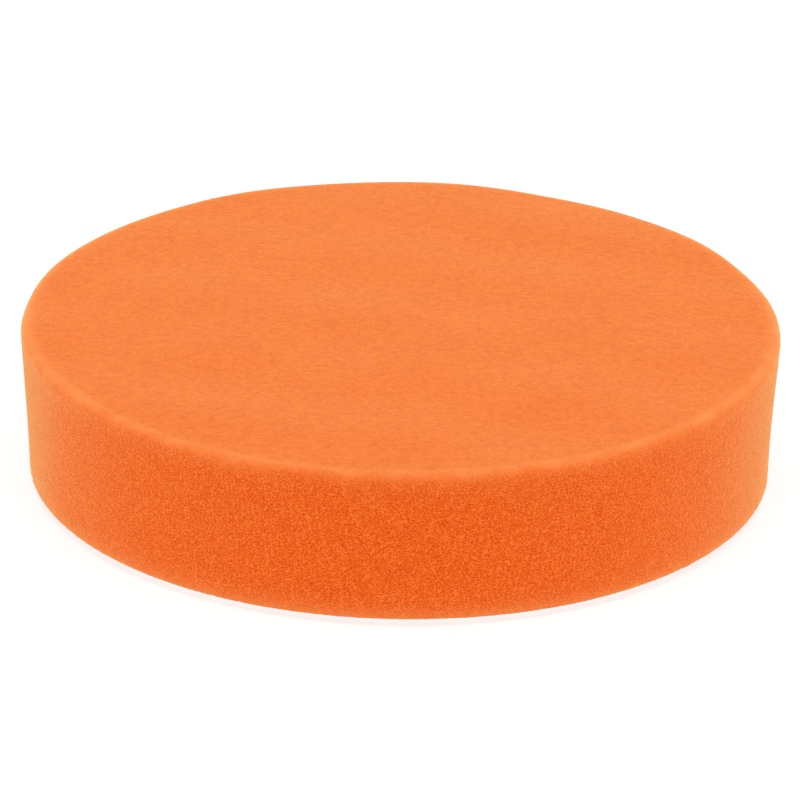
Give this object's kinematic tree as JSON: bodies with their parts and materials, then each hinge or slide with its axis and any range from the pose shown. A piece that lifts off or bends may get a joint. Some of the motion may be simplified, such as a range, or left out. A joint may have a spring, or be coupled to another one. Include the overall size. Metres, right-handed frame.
{
  "type": "foam polishing pad",
  "caption": "Round flat open-cell foam polishing pad with a softly rounded rim and a loop-fabric backing for a hook-faced backing plate.",
  "frame": {"origin": "middle of the loop face, the lowest face of the pad as it lies loops down", "axes": "+Z along the pad's own axis, from the loop side to the working face; X and Y lie in the loop face"},
  "size_m": [0.1498, 0.1498, 0.032],
  "materials": {
    "orange_foam": "open-cell polyurethane foam, soft and dull, with fine pores",
    "hot_melt": "thin hot-melt film, slightly waxy",
    "knit_cloth": "warp-knitted nylon ground cloth",
    "nylon_loops": "brushed nylon loops, soft sheen"
  },
  "bodies": {
    "root": {"foam_disc": "orange_foam", "glue_film": "hot_melt", "backing_cloth": "knit_cloth", "loop_pile": "nylon_loops"}
  },
  "joints": []
}
